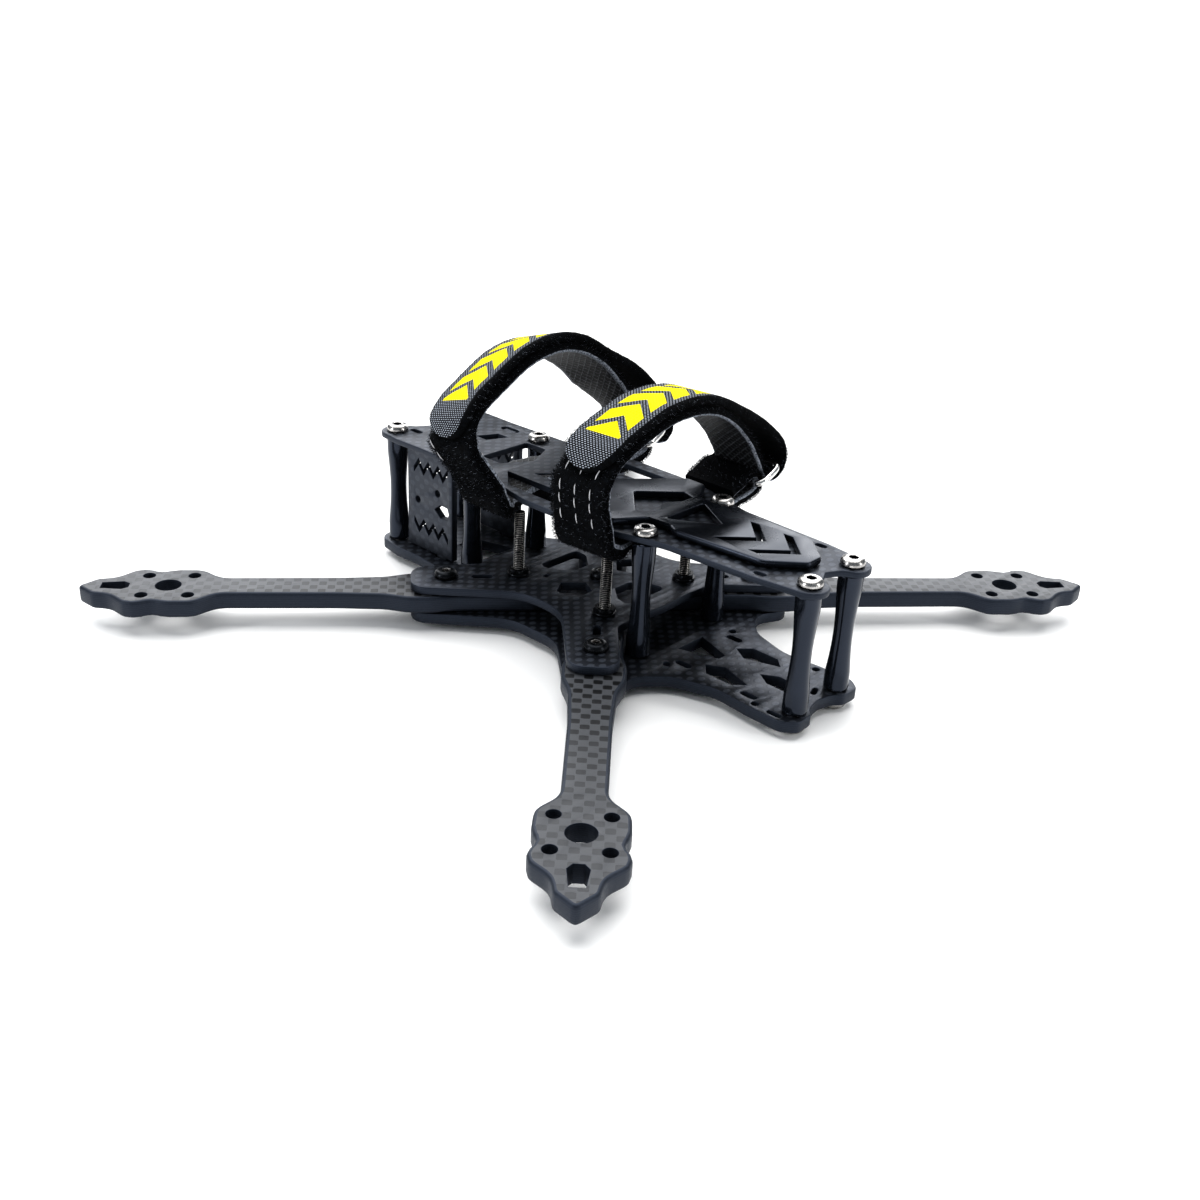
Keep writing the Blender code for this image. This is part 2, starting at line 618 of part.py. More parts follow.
def make_strap(name, outline, lean, tuck, sweep, y):
    """One hook-and-loop battery strap, its middle at y where it passes the plate."""
    flat = bpy.data.objects.new(name, flat_curve(name, [outline], STRAP_WIDTH))
    FRAME.objects.link(flat)
    bpy.context.view_layer.update()
    evaluated = flat.evaluated_get(bpy.context.evaluated_depsgraph_get())
    mesh = bpy.data.meshes.new_from_object(evaluated)
    bpy.data.objects.remove(flat, do_unlink=True)
    work = bmesh.new()
    work.from_mesh(mesh)
    bmesh.ops.remove_doubles(work, verts=work.verts, dist=0.000001)
    bmesh.ops.rotate(work, matrix=Matrix.Rotation(radians(90), 3, "X"), verts=work.verts)
    for vertex in work.verts:
        passing = swept(tucked(vertex.co / MM, tuck), sweep)
        vertex.co = leaned(passing, lean) * MM
    work.to_mesh(mesh)
    work.free()
    add_object(name, mesh, WEBBING, (0, y, TOP_Z))


def make_ring(name, lean, y):
    """The metal ring that joins the two ends of a strap, about its sewn bar."""
    reach = (STRAP_WIDTH + WIRE_D) / 2 + 0.7
    across = Vector(FREE_BAR) - Vector(SEWN_BAR)
    length = across.length
    corners = rounded([(-reach, 0, 2.2), (reach, 0, 2.2), (reach, length, 2.2),
                       (-reach, length, 2.2)])
    curve = bpy.data.curves.new(name, "CURVE")
    curve.dimensions = "3D"
    curve.bevel_depth = WIRE_D / 2 * MM
    curve.bevel_resolution = 2
    spline = curve.splines.new("POLY")
    spline.points.add(len(corners) - 1)
    along = across.normalized()
    for point, (side, out) in zip(spline.points, corners):
        height = along.y * out
        point.co = (along.x * out * MM, (side + lean * height) * MM, height * MM, 1)
    spline.use_cyclic_u = True
    sewn_x, sewn_z = SEWN_BAR
    shift = lean * (sewn_z - TOP_Z)
    add_object(name, curve, RING_STEEL, (sewn_x, y + shift, sewn_z))


# ---------------------------------------------------------------- assembly

make_bottom_plate()
make_mid_plate()
make_top_plate()
make_battery_pad()
for end_name, end_sign in (("front", 1), ("rear", -1)):
    for side_name, side_sign in SIDES:
        make_arm(f"arm_{end_name}_{side_name}", side_sign, end_sign)
for side_name, side_sign in SIDES:
    make_camera_plate(f"camera_plate_{side_name}", side_sign)
make_fasteners()
make_strap("strap_rear", strap_outline(REAR_LOOP, REAR_RETURN), REAR_STRAP_LEAN,
           REAR_STRAP_TUCK, 0, REAR_STRAP_Y)
make_strap("strap_front", strap_outline(FRONT_LOOP, FRONT_RETURN), FRONT_STRAP_LEAN,
           0, FRONT_STRAP_SWEEP, FRONT_STRAP_Y)
make_ring("strap_ring_rear", REAR_STRAP_LEAN, REAR_STRAP_Y)
make_ring("strap_ring_front", FRONT_STRAP_LEAN, FRONT_STRAP_Y)
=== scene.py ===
"""Looks of the racing quadcopter frame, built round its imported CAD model.

Lengths are in millimetres up to the point where a mesh is made.  Plan shapes, holes and
places are read from the CAD nodes, so that every piece lies where its node lies.
"""
import random
from math import atan2, cos, floor, pi, radians, sin, sqrt, tan

import bmesh
import bpy
from mathutils import Matrix, Vector
from mathutils.geometry import tessellate_polygon


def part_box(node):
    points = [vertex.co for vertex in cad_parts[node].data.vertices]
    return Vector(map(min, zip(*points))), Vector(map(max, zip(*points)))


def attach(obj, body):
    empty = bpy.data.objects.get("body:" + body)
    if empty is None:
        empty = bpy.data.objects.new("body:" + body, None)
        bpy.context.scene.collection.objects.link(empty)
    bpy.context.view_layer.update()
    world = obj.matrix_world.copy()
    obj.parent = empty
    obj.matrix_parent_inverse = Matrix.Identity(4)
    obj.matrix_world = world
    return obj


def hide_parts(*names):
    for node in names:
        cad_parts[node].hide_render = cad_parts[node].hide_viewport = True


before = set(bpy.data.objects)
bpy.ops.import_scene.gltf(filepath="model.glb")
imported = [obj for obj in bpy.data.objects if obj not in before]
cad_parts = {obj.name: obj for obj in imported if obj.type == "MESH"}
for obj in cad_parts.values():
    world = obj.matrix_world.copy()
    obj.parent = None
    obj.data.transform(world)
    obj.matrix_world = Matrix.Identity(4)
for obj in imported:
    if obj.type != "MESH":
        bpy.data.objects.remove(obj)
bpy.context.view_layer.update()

MM = 0.001
UP = Vector((0, 0, 1))

HEAD_RADIUS = 2.95             # M3 button heads
HEAD_HEIGHT = 1.65
SHANK_RADIUS = 1.45
SOCKET_APOTHEM = 1.0           # their hexagon sockets
THREAD_PITCH = 0.5
THREAD_DEPTH = 0.3
THREADED_FROM = 11.5           # where a stack bolt's thread begins, from its head
BORE = 1.6                     # radius of the hole in a standoff or a nut
ROUND = 48                     # sides of a round piece
ARM_ANGLE = 41.1               # degrees between an arm and the X axis
TIP_LENGTH = 7.5               # rounded end of a strap's tail
STITCH = 2.7                   # length of a stitch
STITCH_PITCH = 3.4
COVERED = (-15.0, 24.0)        # X where a loop side lies under the top plate or its own tail
PORT_SIDE = -17.0              # beyond this X a strap runs up the port side
CROSSING = 10.0                # an edge that spans more of Y than this crosses a strap's width
FLOOR_REACH = 40.0             # metres
WORLD_STRENGTH = 0.3
WORLD_SEEN = 1.4               # strength of the surroundings where the camera sees them
COOL = (0.66, 0.76, 1.0, 1.0)  # tint of the gloss on black surfaces


# ---------------------------------------------------------------- camera, floor and light

def make_camera():
    """The camera, looking past the port side from behind, with a slight roll."""
    data = bpy.data.cameras.new("camera")
    data.lens = 40.8
    data.sensor_width = 36.0
    data.clip_start = 0.01
    camera = bpy.data.objects.new("camera", data)
    forward = Vector((0.6714, 0.5982, -0.4376))
    roll = Matrix.Rotation(radians(3.07), 4, "Z")
    camera.matrix_world = forward.to_track_quat("-Z", "Y").to_matrix().to_4x4() @ roll
    camera.location = (-0.2403, -0.2141, 0.16185)
    bpy.context.scene.collection.objects.link(camera)
    bpy.context.scene.camera = camera


def add_light(name, kind, location, power, colour, size):
    """A soft light that shines on the object, hidden from the camera."""
    data = bpy.data.lights.new(name, kind)
    data.energy = power
    data.color = colour
    if kind == "SUN":
        data.angle = radians(size)
    else:
        data.shape = "RECTANGLE"
        data.size, data.size_y = size
    light = bpy.data.objects.new(name, data)
    light.location = location
    light.rotation_euler = (-Vector(location)).to_track_quat("-Z", "Y").to_euler()
    light.visible_camera = False
    bpy.context.scene.collection.objects.link(light)


def make_stage():
    """White floor, even pale surroundings, soft light from above and softboxes at the sides."""
    mesh = bpy.data.meshes.new("floor")
    work = bmesh.new()
    bmesh.ops.create_grid(work, x_segments=1, y_segments=1, size=FLOOR_REACH)
    work.to_mesh(mesh)
    work.free()
    floor_piece = bpy.data.objects.new("floor", mesh)
    bpy.context.scene.collection.objects.link(floor_piece)
    paint = Shader("floor_paint", {"Roughness": 0.9, "Specular IOR Level": 0.1})
    paint.surface.inputs["Base Color"].default_value = (0.93, 0.93, 0.925, 1)
    mesh.materials.append(paint.material)
    world = bpy.data.worlds.new("surroundings")
    world.use_nodes = True
    tree = world.node_tree
    tree.nodes["Background"].inputs["Color"].default_value = (0.86, 0.93, 1, 1)
    strength = tree.nodes.new("ShaderNodeMapRange")
    strength.inputs["To Min"].default_value = WORLD_STRENGTH
    strength.inputs["To Max"].default_value = WORLD_SEEN
    seen = tree.nodes.new("ShaderNodeLightPath").outputs["Is Camera Ray"]
    tree.links.new(seen, strength.inputs["Value"])
    tree.links.new(strength.outputs[0], tree.nodes["Background"].inputs["Strength"])
    bpy.context.scene.world = world
    add_light("overhead_light", "SUN", (0.25, 0.35, 1.0), 3.6, (1.0, 0.99, 0.98), 75)
    add_light("nose_softbox", "AREA", (0.6, 1.5, 0.65), 6.0, (0.97, 0.98, 1.0), (0.8, 0.9))
    add_light("starboard_softbox", "AREA", (1.5, 0.55, 0.65), 7.0, (0.97, 0.98, 1.0), (0.8, 0.9))
    add_light("port_softbox", "AREA", (-1.3, 0.5, 0.55), 7.0, (0.97, 0.98, 1.0), (0.14, 1.0))
    add_light("tail_softbox", "AREA", (0.5, -1.3, 0.55), 7.0, (1.0, 0.99, 0.97), (0.14, 1.0))
    bpy.context.scene.view_settings.view_transform = "Standard"
    bpy.context.scene.view_settings.look = "Medium High Contrast"


# ---------------------------------------------------------------- material helper

class Shader:
    """A Principled BSDF material with short calls for the nodes that feed it."""

    def __init__(self, name, constants):
        self.material = bpy.data.materials.new(name)
        self.material.use_nodes = True
        self.tree = self.material.node_tree
        self.surface = self.tree.nodes["Principled BSDF"]
        for key, value in constants.items():
            self.surface.inputs[key].default_value = value
        self.uv = self.tree.nodes.new("ShaderNodeTexCoord").outputs["UV"]

    def feed(self, socket, value):
        """Link a socket to another, or set it."""
        if isinstance(value, bpy.types.NodeSocket):
            self.tree.links.new(value, socket)
        else:
            socket.default_value = value

    def math(self, operation, *values):
        """A math node."""
        node = self.tree.nodes.new("ShaderNodeMath")
        node.operation = operation
        for socket, value in zip(node.inputs, values):
            self.feed(socket, value)
        return node.outputs[0]

    def mix(self, factor, first, second):
        """A colour between two."""
        node = self.tree.nodes.new("ShaderNodeMix")
        node.data_type = "RGBA"
        self.feed(node.inputs[0], factor)
        self.feed(node.inputs[6], first)
        self.feed(node.inputs[7], second)
        return node.outputs[2]

    def axes(self, vector):
        """The three components of a vector."""
        node = self.tree.nodes.new("ShaderNodeSeparateXYZ")
        self.feed(node.inputs[0], vector)
        return node.outputs

    def place(self):
        """Position on the object."""
        return self.tree.nodes.new("ShaderNodeTexCoord").outputs["Object"]

    def stretch(self, vector, scale):
        """A vector scaled along its axes."""
        node = self.tree.nodes.new("ShaderNodeMapping")
        self.feed(node.inputs["Vector"], vector)
        node.inputs["Scale"].default_value = scale
        return node.outputs[0]

    def noise(self, vector, scale, detail=2.0):
        """A noise value about 0.5."""
        node = self.tree.nodes.new("ShaderNodeTexNoise")
        self.feed(node.inputs["Vector"], vector)
        node.inputs["Scale"].default_value = scale
        node.inputs["Detail"].default_value = detail
        return node.outputs["Fac"]

    def ramp(self, value, low, high, first=0.0, last=1.0):
        """A value carried smoothly from one range to another."""
        node = self.tree.nodes.new("ShaderNodeMapRange")
        node.interpolation_type = "SMOOTHSTEP"
        for socket, number in zip(node.inputs, (value, low, high, first, last)):
            self.feed(socket, number)
        return node.outputs[0]

    def colour(self, value):
        """Feed the base colour."""
        self.feed(self.surface.inputs["Base Color"], value)

    def bump(self, height, distance, strength=1.0):
        """Feed the normal from a height, distance in millimetres."""
        node = self.tree.nodes.new("ShaderNodeBump")
        node.inputs["Distance"].default_value = distance * MM
        node.inputs["Strength"].default_value = strength
        self.feed(node.inputs["Height"], height)
        self.tree.links.new(node.outputs[0], self.surface.inputs["Normal"])


def grey(level, blue=1.35):
    """A dark grey that leans to blue."""
    return (level, level * (1 + (blue - 1) * 0.35), level * blue, 1)


# ---------------------------------------------------------------- materials

def carbon_material(name, cell, fill, ground, tow, squareness, gloss, tint, blue, fade=0.0):
    """Plain woven carbon: every other cell shows a tow that fills a share of it.

    The UV map is in millimetres along the two tow directions.  Ground and tow are the grey
    levels of the two, and fade is how far the weave gives way to an even lighter grey towards the far
    ends of u, a painted glancing reflection.
    """
    shader = Shader(name, {"Specular IOR Level": gloss, "Specular Tint": tint})
    u, v, _ = shader.axes(shader.uv)
    wander = shader.noise(shader.uv, 0.35, 1.0)
    across = shader.math("ADD", shader.math("DIVIDE", u, cell), shader.math("MULTIPLY", wander, 0.1))
    along = shader.math("DIVIDE", v, cell)
    parity = shader.math("FRACT", shader.math("MULTIPLY", shader.math(
        "ADD", shader.math("FLOOR", across), shader.math("FLOOR", along)), 0.5))
    reach = []
    for way, share in zip((across, along), fill):
        from_mid = shader.math("ABSOLUTE", shader.math("SUBTRACT", shader.math("FRACT", way), 0.5))
        reach.append(shader.math("POWER", shader.math("MULTIPLY", from_mid, 2 / share), squareness))
    inside = shader.ramp(shader.math("ADD", *reach), 1.15, 0.7)
    shown = shader.math("MULTIPLY", shader.math("GREATER_THAN", parity, 0.25), inside)
    fibres = shader.noise(shader.stretch(shader.uv, (14.0, 0.8, 1)), 1.0)
    ground_tone = shader.mix(fibres, grey(ground * 0.7, blue), grey(ground * 1.3, blue))
    tow_tone = shader.mix(fibres, grey(tow * 0.6, blue), grey(tow * 1.4, blue))
    cloudy = shader.noise(shader.uv, 0.06, 3.0)
    woven = shader.mix(shown, ground_tone, tow_tone)
    # Towards the far ends of u the weave gives way to an even grey, a painted glancing reflection;
    # cloudy adds random tone
    painted_sheen = shader.ramp(shader.math("ABSOLUTE", u), 50.0, 105.0, 0.0, fade)
    painted_sheen_and_cloud = shader.math("ADD", painted_sheen, shader.ramp(cloudy, 0.3, 0.8, 0.0, 0.25))
    shader.colour(shader.mix(painted_sheen_and_cloud, woven, grey(max(ground, tow) * 0.9, blue)))
    shader.feed(shader.surface.inputs["Roughness"],
                shader.math("ADD", shader.math("MULTIPLY", cloudy, 0.16), 0.34))
    height = shader.math("ADD", shader.math("MULTIPLY", shown, 0.8),
                         shader.math("MULTIPLY", fibres, 0.04))
    shader.bump(height, 0.05, 0.6)
    return shader.material


def cut_edge_material():
    """The milled edge of the laminate, with its plies as faint lines."""
    shader = Shader("carbon_edge", {"Specular IOR Level": 0.4, "Specular Tint": COOL})
    _, height, _ = shader.axes(shader.uv)
    plies = shader.math("SINE", shader.math("MULTIPLY", height, 2 * pi / 0.5))
    speckle = shader.noise(shader.uv, 2.5, 4.0)
    level = shader.math("ADD", shader.math("MULTIPLY", plies, 0.16), speckle)
    shader.colour(shader.mix(shader.ramp(level, 0.2, 0.85), grey(0.007, 1.8), grey(0.016, 1.7)))
    shader.feed(shader.surface.inputs["Roughness"], shader.ramp(speckle, 0.2, 0.8, 0.42, 0.6))
    shader.bump(level, 0.03, 0.5)
    return shader.material


def anodised_material():
    """Glossy black anodised aluminium, a little dusty."""
    shader = Shader("black_anodised", {"Specular IOR Level": 0.5, "Specular Tint": COOL})
    place = shader.place()
    dust = shader.noise(place, 900.0, 3.0)
    shader.colour(shader.mix(dust, grey(0.003, 1.7), grey(0.009, 1.7)))
    shader.feed(shader.surface.inputs["Roughness"], shader.ramp(dust, 0.2, 0.8, 0.08, 0.16))
    return shader.material


def steel_material(name, level, tint, rough):
    """Bright steel with small scratches and darker patches."""
    shader = Shader(name, {"Metallic": 1.0})
    place = shader.place()
    scratches = shader.noise(shader.stretch(place, (1200, 6000, 3000)), 1.0, 3.0)
    patches = shader.noise(place, 700.0, 2.0)
    dark = (level * 0.6, level * 0.6 * tint, level * 0.6 * tint * tint, 1)
    light = (level, level * tint, level * tint * tint, 1)
    shader.colour(shader.mix(shader.ramp(patches, 0.3, 0.7), dark, light))
    shader.feed(shader.surface.inputs["Roughness"],
                shader.ramp(scratches, 0.3, 0.75, rough, rough + 0.14))
    shader.bump(scratches, 0.004, 0.3)
    return shader.material


def black_thread_material():
    """Black zinc steel, lighter on the crests, which the UV map's u marks: partly wear, partly a painted
    glint.
    """
    shader = Shader("black_steel", {"Metallic": 0.85})
    crest, _, _ = shader.axes(shader.uv)
    wear = shader.noise(shader.place(), 1500.0, 3.0)
    # Lighter brownish grey on the thread crests: partly wear, partly a painted glint
    crest_wear_and_glint = shader.math("MULTIPLY", shader.ramp(crest, 0.4, 0.9), shader.ramp(wear, 0.2, 0.5))
    shader.colour(shader.mix(crest_wear_and_glint, grey(0.01, 1.4), (0.4, 0.385, 0.36, 1)))
    shader.feed(shader.surface.inputs["Roughness"], shader.ramp(wear, 0.2, 0.8, 0.24, 0.42))
    shader.bump(wear, 0.006, 0.3)
    return shader.material


def rubber_material():
    """Smooth moulded rubber with a faint grain and dust."""
    shader = Shader("pad_rubber", {"Specular IOR Level": 0.4, "Specular Tint": COOL})
    place = shader.place()
    grain = shader.noise(place, 3500.0, 3.0)
    smudge = shader.noise(place, 60.0, 4.0)
    shader.colour(shader.mix(shader.ramp(smudge, 0.3, 0.75), grey(0.002, 1.9), grey(0.007, 1.7)))
    shader.feed(shader.surface.inputs["Roughness"], shader.ramp(smudge, 0.3, 0.7, 0.2, 0.36))
    shader.bump(grain, 0.012, 0.4)
    return shader.material


def pile_material():
    """The loop side of the strap: a black matted pile."""
    shader = Shader("strap_pile", {"Roughness": 0.9, "Specular IOR Level": 0.1})
    curls = shader.noise(shader.uv, 3.2, 5.0)
    tufts = shader.noise(shader.uv, 0.9, 3.0)
    level = shader.ramp(shader.math("MULTIPLY", curls, tufts), 0.12, 0.42)
    shader.colour(shader.mix(level, grey(0.0004, 1.9), grey(0.004, 1.9)))
    shader.bump(curls, 0.35, 0.9)
    return shader.material


def weave_cells(shader, rib, dash):
    """Ribs across the strap, each broken into dashes; returns the lit part of a dash."""
    u, v, _ = shader.axes(shader.uv)
    row = shader.math("DIVIDE", v, rib)
    shifted = shader.math("ADD", shader.math("DIVIDE", u, dash),
                          shader.math("MULTIPLY", shader.math("FLOOR", row), 0.5))
    rib_round = shader.math("SINE", shader.math("MULTIPLY", shader.math("FRACT", row), pi))
    dash_round = shader.math("SINE", shader.math("MULTIPLY", shader.math("FRACT", shifted), pi))
    return shader.math("MULTIPLY", rib_round, dash_round)


def webbing_material():
    """The woven face of the strap's tail, with a generic printed stripe pattern.

    u is the distance from the middle line and v the distance from the tail's tip.
    """
    shader = Shader("strap_webbing", {"Roughness": 0.75, "Specular IOR Level": 0.1})
    thread = weave_cells(shader, 0.5, 0.95)
    fray = shader.noise(shader.uv, 2.2, 3.0)
    lit = shader.math("MULTIPLY", shader.ramp(thread, 0.42, 0.85), shader.ramp(fray, 0.2, 0.6, 0.5))
    cloth = shader.mix(lit, grey(0.0008, 1.8), grey(0.36, 1.25))
    u, v, _ = shader.axes(shader.uv)
    side = shader.math("ABSOLUTE", u)
    slanted = shader.math("ADD", v, shader.math("MULTIPLY", side, 0.9))
    bars = shader.ramp(shader.math("ABSOLUTE", shader.math("SUBTRACT", shader.math(
        "FRACT", shader.math("DIVIDE", slanted, 8.2)), 0.5)), 0.36, 0.33)
    field = shader.math("MULTIPLY", shader.ramp(side, 5.4, 5.1), shader.math(
        "MULTIPLY", shader.ramp(v, 9.5, 9.9), shader.ramp(v, 43.4, 43.0)))
    ink = shader.math("MULTIPLY", bars, field)
    yellow = shader.mix(shader.ramp(thread, 0.0, 0.5), (0.62, 0.5, 0.0, 1), (1.0, 0.86, 0.0, 1))
    edge = shader.ramp(side, 7.0, 7.4)
    hem = shader.mix(edge, cloth, grey(0.03, 1.3))
    shader.colour(shader.mix(ink, hem, yellow))
    shader.bump(thread, 0.18, 0.8)
    return shader.material


def grip_material():
    """The inner face of the strap: rubbery diamonds on dark cloth, a grey line at each edge."""
    shader = Shader("strap_grip", {"Roughness": 0.6, "Specular IOR Level": 0.35})
    u, v, _ = shader.axes(shader.uv)
    rising = shader.math("SINE", shader.math("MULTIPLY", shader.math("ADD", u, v), 2 * pi / 2.2))
    falling = shader.math("SINE", shader.math("MULTIPLY", shader.math("SUBTRACT", u, v), 2 * pi / 2.2))
    ridge = shader.ramp(shader.math("MAXIMUM", rising, falling), 0.6, 0.95)
    speck = shader.noise(shader.uv, 1.6, 3.0)
    lit = shader.math("MULTIPLY", ridge, shader.ramp(speck, 0.35, 0.65))
    cloth = shader.mix(lit, grey(0.0015, 1.9), grey(0.1, 1.2))
    side = shader.math("ABSOLUTE", u)
    line = shader.math("MULTIPLY", shader.ramp(side, 7.0, 7.15), shader.ramp(side, 7.6, 7.45))
    shader.colour(shader.mix(line, cloth, grey(0.13, 1.2)))
    shader.bump(ridge, 0.2, 0.8)
    return shader.material


def selvedge_material():
    """The woven border of the strap's inner layer."""
    shader = Shader("strap_selvedge", {"Roughness": 0.8, "Specular IOR Level": 0.2})
    picks = shader.noise(shader.uv, 2.5, 2.0)
    shader.colour(shader.mix(shader.ramp(picks, 0.3, 0.7), grey(0.03, 1.5), grey(0.3, 1.25)))
    return shader.material


def glint_fibre_material():
    """Fibres of the pile painted light grey, a painted glint."""
    shader = Shader("strap_glint_fibres", {"Roughness": 0.5, "Specular IOR Level": 0.5})
    shade = shader.noise(shader.place(), 900.0, 2.0)
    shader.colour(shader.mix(shader.ramp(shade, 0.35, 0.7), grey(0.05, 1.6), grey(0.4, 1.3)))
    return shader.material


def thread_material():
    """White sewing thread."""
    shader = Shader("stitch_thread", {"Roughness": 0.6})
    twist = shader.noise(shader.place(), 4000.0, 2.0)
    shader.colour(shader.mix(twist, (0.42, 0.42, 0.45, 1), (0.85, 0.85, 0.86, 1)))
    return shader.material


# ---------------------------------------------------------------- mesh helpers

def add_piece(name, work, body, materials, replaced=(), sharp=35.0):
    """Turn a bmesh in millimetres into a piece that rides on a body."""
    bmesh.ops.recalc_face_normals(work, faces=work.faces)
    mesh = bpy.data.meshes.new(name)
    work.to_mesh(mesh)
    work.free()
    mesh.transform(Matrix.Scale(MM, 4))
    mesh.shade_smooth()
    mesh.set_sharp_from_angle(angle=radians(sharp))
    return link_piece(name, mesh, body, materials, replaced)


def link_piece(name, mesh, body, materials, replaced=()):
    """Link a mesh as a piece that rides on a body and stands for CAD nodes."""
    for material in materials:
        if len(mesh.materials) < len(materials):
            mesh.materials.append(material)
    piece = bpy.data.objects.new(name, mesh)
    bpy.context.scene.collection.objects.link(piece)
    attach(piece, body)
    if replaced:
        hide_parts(*replaced)
    return piece


def loft(work, rings, uv_rows=None, closed=True, material=0):
    """Faces between rings of equal count; uv_rows holds a (u, v) pair for each point."""
    uv_layer = work.loops.layers.uv.verify()
    corners = [[work.verts.new(point) for point in ring] for ring in rings]
    count = len(rings[0])
    for row in range(len(rings) - 1):
        for i in range(count if closed else count - 1):
            j = (i + 1) % count
            around = ((row, i), (row, j), (row + 1, j), (row + 1, i))
            face = work.faces.new([corners[r][c] for r, c in around])
            face.material_index = material
            if uv_rows:
                for corner, (r, c) in zip(face.loops, around):
                    corner[uv_layer].uv = uv_rows[r][c]
    return corners


def cap(work, ring, uv=(0.0, 0.0)):
    """Close a ring of points with one face."""
    face = work.faces.new(ring)
    uv_layer = work.loops.layers.uv.verify()
    for corner in face.loops:
        corner[uv_layer].uv = uv


def circle(radius, z, sides=ROUND):
    """Points round the Z axis."""
    return [Vector((radius * cos(2 * pi * i / sides), radius * sin(2 * pi * i / sides), z))
            for i in range(sides)]


def hexagon(apothem, z, sides=ROUND):
    """As many points as a circle has, on a hexagon round the Z axis."""
    ring = []
    for i in range(sides):
        a = 2 * pi * i / sides
        off_flat = (a % (pi / 3)) - pi / 6
        ring.append(Vector((cos(a), sin(a), 0)) * (apothem / cos(off_flat)) + UP * z)
    return ring


def catmull(points, per_span):
    """A smooth line through points, with more points on it."""
    knots = [2 * points[0] - points[1]] + list(points) + [2 * points[-1] - points[-2]]
    line = []
    for a, b, c, d in zip(knots, knots[1:], knots[2:], knots[3:]):
        for step in range(per_span):
            t = step / per_span
            line.append(0.5 * (2 * b + (c - a) * t + (2 * a - 5 * b + 4 * c - d) * t * t
                               + (3 * b - a - 3 * c + d) * t ** 3))
    return line + [points[-1]]


def node_mesh(node):
    """A CAD node's mesh in millimetres, its corners joined."""
    work = bmesh.new()
    work.from_mesh(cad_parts[node].data)
    bmesh.ops.scale(work, vec=(1 / MM, 1 / MM, 1 / MM), verts=work.verts)
    bmesh.ops.remove_doubles(work, verts=work.verts, dist=0.001)
    work.normal_update()
    return work


def node_box(node):
    """Lowest and highest corner of a CAD node in millimetres."""
    low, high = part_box(node)
    return low / MM, high / MM


def outline_loops(faces):
    """Ordered corners round a patch of faces, each loop with the patch on its left.

    The faces are walked in the list's order, because a set's order changes from run to run.
    """
    patch = set(faces)
    follow = {corner.vert: corner.link_loop_next.vert for face in faces for corner in face.loops
              if corner.link_loop_radial_next.face not in patch}
    loops = []
    while follow:
        start = next(iter(follow))
        loop = []
        here = start
        while here in follow:
            loop.append(here.co.copy())
            here = follow.pop(here)
        loops.append(loop)
    return loops


# ---------------------------------------------------------------- plates and arms

def halve_chords(loop):
    """Put a point on each arc between two corners of a round stretch."""
    count = len(loop)
    sides = [loop[(i + 1) % count] - loop[i] for i in range(count)]
    turns = [atan2(sides[i - 1].cross(sides[i]), sides[i - 1].dot(sides[i])) for i in range(count)]
    finer = []
    for i in range(count):
        finer.append(loop[i])
        ends = (turns[i], turns[(i + 1) % count])
        near = min(sides[i - 1].length, sides[(i + 1) % count].length)
        smooth = max(abs(t) for t in ends) < radians(40) and min(abs(t) for t in ends) > radians(1)
        if smooth and sides[i].length < 1.4 * near and ends[0] * ends[1] > 0:
            right = Vector((sides[i].y, -sides[i].x))
            finer.append(loop[i] + sides[i] / 2 + right / 2 * tan(sum(ends) / 8))
    return finer


def inset(loop, distance):
    """The loop moved to its left, into the material."""
    count = len(loop)
    moved = []
    for i in range(count):
        before = (loop[i] - loop[i - 1]).normalized()
        after = (loop[(i + 1) % count] - loop[i]).normalized()
        middle = before + after
        left = Vector((-middle.y, middle.x)).normalized()
        reach = max(0.5, left.dot(Vector((-before.y, before.x))))
        moved.append(loop[i] + left * (distance / reach))
    return moved


def round_over(size, low, high, steps):
    """(inset, height) pairs over an edge rounded at both rims."""
    quarter = [(size * (1 - sin(pi / 2 * k / steps)), size * (1 - cos(pi / 2 * k / steps)))
               for k in range(steps + 1)]
    return [(i, low + h) for i, h in quarter] + [(i, high - h) for i, h in reversed(quarter)]


